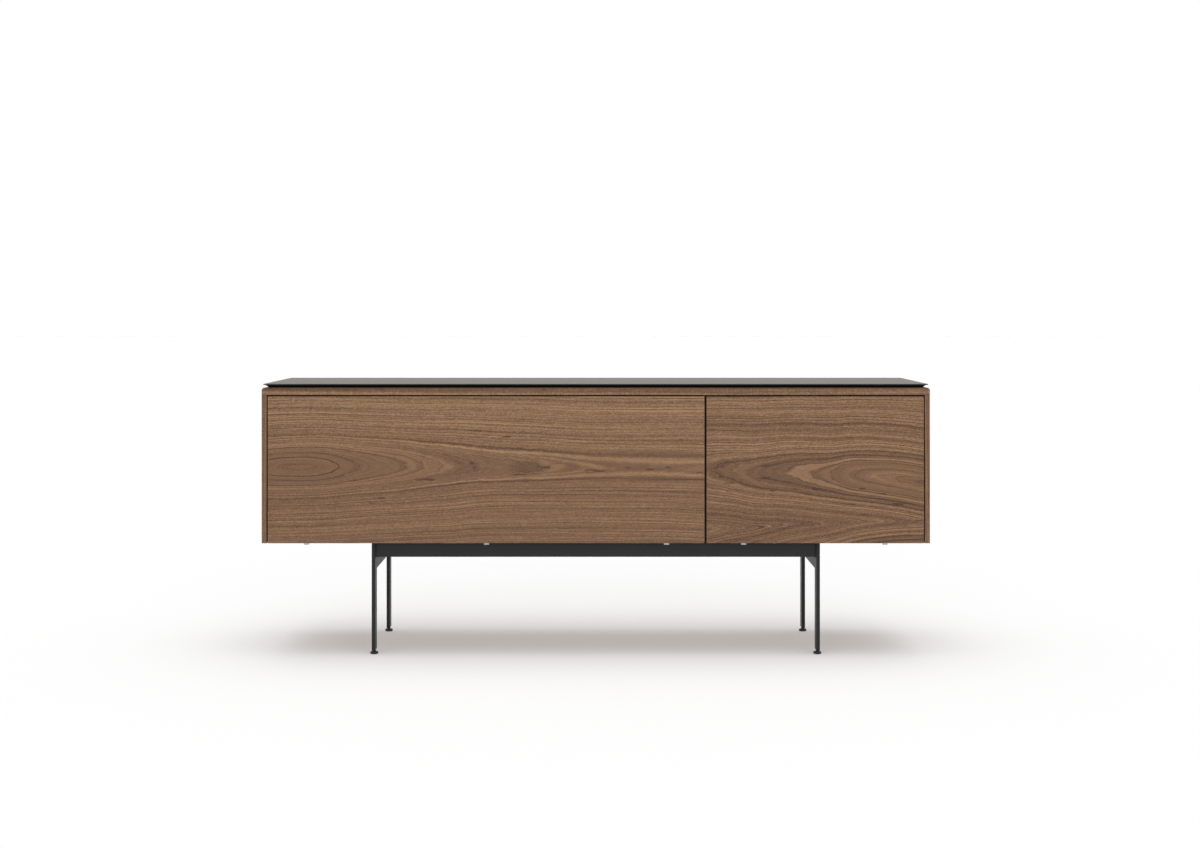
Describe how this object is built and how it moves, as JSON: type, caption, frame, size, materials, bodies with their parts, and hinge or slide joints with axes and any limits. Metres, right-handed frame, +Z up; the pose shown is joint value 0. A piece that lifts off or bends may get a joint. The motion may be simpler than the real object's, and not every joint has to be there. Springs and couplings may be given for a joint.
{
  "type": "sideboard",
  "caption": "Low wide sideboard with drop-down doors in wood veneer, a thin cover plate on a recessed spacer and a flat-bar steel base on levelling feet.",
  "frame": {"origin": "on the floor, under the middle of the sideboard's width and depth", "axes": "+X to the right as seen from the front, +Y to the back, +Z up"},
  "size_m": [1.86, 0.45, 0.7606],
  "materials": {
    "walnut": "satin walnut veneer, grain along the length",
    "inner_board": "satin walnut veneer",
    "cover_plate": "satin dark taupe",
    "spacer": "matt black",
    "base_steel": "fine-textured graphite powder coat",
    "foot": "matt black",
    "hinge_steel": "satin nickel plated",
    "pin_steel": "bright zinc plated",
    "brake_plastic": "matt black",
    "latch_plastic": "matt light grey"
  },
  "bodies": {
    "carcass": {"top_board": "walnut", "left_side": "walnut", "right_side": "walnut", "bottom_panel": "inner_board", "divider": "inner_board", "left_back": "inner_board", "right_back": "inner_board", "left_shelf": "inner_board", "right_shelf": "inner_board", "plate_spacer": "spacer", "top_plate": "cover_plate", "front_left_leg": "base_steel", "front_right_leg": "base_steel", "rear_left_leg": "base_steel", "rear_right_leg": "base_steel", "left_side_rail": "base_steel", "right_side_rail": "base_steel", "front_beam": "base_steel", "rear_beam": "base_steel", "left_hinge_left_cabinet_leaf": "hinge_steel", "left_hinge_left_pin": "pin_steel", "left_hinge_middle_cabinet_leaf": "hinge_steel", "left_hinge_middle_pin": "pin_steel", "left_hinge_right_cabinet_leaf": "hinge_steel", "left_hinge_right_pin": "pin_steel", "right_hinge_left_cabinet_leaf": "hinge_steel", "right_hinge_left_pin": "pin_steel", "right_hinge_right_cabinet_leaf": "hinge_steel", "right_hinge_right_pin": "pin_steel", "left_stay_left_plate": "hinge_steel", "left_stay_right_plate": "hinge_steel", "right_stay_right_plate": "hinge_steel", "left_latch_body": "latch_plastic", "right_latch_body": "latch_plastic"},
    "left_flap": {"left_door": "walnut", "left_hinge_left_door_leaf": "hinge_steel", "left_hinge_middle_door_leaf": "hinge_steel", "left_hinge_right_door_leaf": "hinge_steel", "left_stay_left_door_bracket": "hinge_steel", "left_stay_right_door_bracket": "hinge_steel", "left_latch_striker": "pin_steel"},
    "right_flap": {"right_door": "walnut", "right_hinge_left_door_leaf": "hinge_steel", "right_hinge_right_door_leaf": "hinge_steel", "right_stay_right_door_bracket": "hinge_steel", "right_latch_striker": "pin_steel"},
    "left_stay_left_swivel": {"left_stay_left_brake": "brake_plastic"},
    "left_stay_left_slider": {"left_stay_left_rod": "pin_steel"},
    "left_stay_right_swivel": {"left_stay_right_brake": "brake_plastic"},
    "left_stay_right_slider": {"left_stay_right_rod": "pin_steel"},
    "right_stay_right_swivel": {"right_stay_right_brake": "brake_plastic"},
    "right_stay_right_slider": {"right_stay_right_rod": "pin_steel"},
    "left_latch_pin": {"left_latch_plunger": "brake_plastic"},
    "right_latch_pin": {"right_latch_plunger": "brake_plastic"},
    "front_left_leveller": {"front_left_foot": "foot"},
    "front_right_leveller": {"front_right_foot": "foot"},
    "rear_left_leveller": {"rear_left_foot": "foot"},
    "rear_right_leveller": {"rear_right_foot": "foot"}
  },
  "joints": [
    {"name": "left_door_hinge", "type": "hinge", "parent": "carcass", "child": "left_flap", "pos_m": [-0.30543, -0.2022, 0.3132], "axis": [1, 0, 0], "range_deg": [0, 90]},
    {"name": "right_door_hinge", "type": "hinge", "parent": "carcass", "child": "right_flap", "pos_m": [0.61082, -0.2022, 0.3132], "axis": [1, 0, 0], "range_deg": [0, 90]},
    {"name": "left_stay_left_pivot", "type": "hinge", "parent": "carcass", "child": "left_stay_left_swivel", "pos_m": [-0.9042, -0.1572, 0.523], "axis": [1, 0, 0], "range_deg": [0, 38.1]},
    {"name": "left_stay_left_slide", "type": "slide", "parent": "left_stay_left_swivel", "child": "left_stay_left_slider", "axis": [0, -1, 0], "range_m": [0, 0.2893]},
    {"name": "left_stay_right_pivot", "type": "hinge", "parent": "carcass", "child": "left_stay_right_swivel", "pos_m": [0.2846, -0.1572, 0.523], "axis": [1, 0, 0], "range_deg": [0, 38.1]},
    {"name": "left_stay_right_slide", "type": "slide", "parent": "left_stay_right_swivel", "child": "left_stay_right_slider", "axis": [0, -1, 0], "range_m": [0, 0.2893]},
    {"name": "right_stay_right_pivot", "type": "hinge", "parent": "carcass", "child": "right_stay_right_swivel", "pos_m": [0.9042, -0.1572, 0.523], "axis": [1, 0, 0], "range_deg": [0, 38.1]},
    {"name": "right_stay_right_slide", "type": "slide", "parent": "right_stay_right_swivel", "child": "right_stay_right_slider", "axis": [0, -1, 0], "range_m": [0, 0.2893]},
    {"name": "left_latch_push", "type": "slide", "parent": "carcass", "child": "left_latch_pin", "axis": [0, 1, 0], "range_m": [0, 0.0035], "stiffness_N_per_m": 300, "springref_m": -0.005},
    {"name": "right_latch_push", "type": "slide", "parent": "carcass", "child": "right_latch_pin", "axis": [0, 1, 0], "range_m": [0, 0.0035], "stiffness_N_per_m": 300, "springref_m": -0.005},
    {"name": "front_left_foot_screw", "type": "slide", "parent": "carcass", "child": "front_left_leveller", "axis": [0, 0, -1], "range_m": [0, 0.01]},
    {"name": "front_right_foot_screw", "type": "slide", "parent": "carcass", "child": "front_right_leveller", "axis": [0, 0, -1], "range_m": [0, 0.01]},
    {"name": "rear_left_foot_screw", "type": "slide", "parent": "carcass", "child": "rear_left_leveller", "axis": [0, 0, -1], "range_m": [0, 0.01]},
    {"name": "rear_right_foot_screw", "type": "slide", "parent": "carcass", "child": "rear_right_leveller", "axis": [0, 0, -1], "range_m": [0, 0.01]}
  ],
  "couplings": [
    {"joint": "left_stay_left_pivot", "follows": "left_door_hinge", "ratio": 0.42227},
    {"joint": "left_stay_left_slide", "follows": "left_door_hinge", "m_per_rad": 0.18402},
    {"joint": "left_stay_right_pivot", "follows": "left_door_hinge", "ratio": 0.42227},
    {"joint": "left_stay_right_slide", "follows": "left_door_hinge", "m_per_rad": 0.18402},
    {"joint": "right_stay_right_pivot", "follows": "right_door_hinge", "ratio": 0.42227},
    {"joint": "right_stay_right_slide", "follows": "right_door_hinge", "m_per_rad": 0.18402}
  ]
}
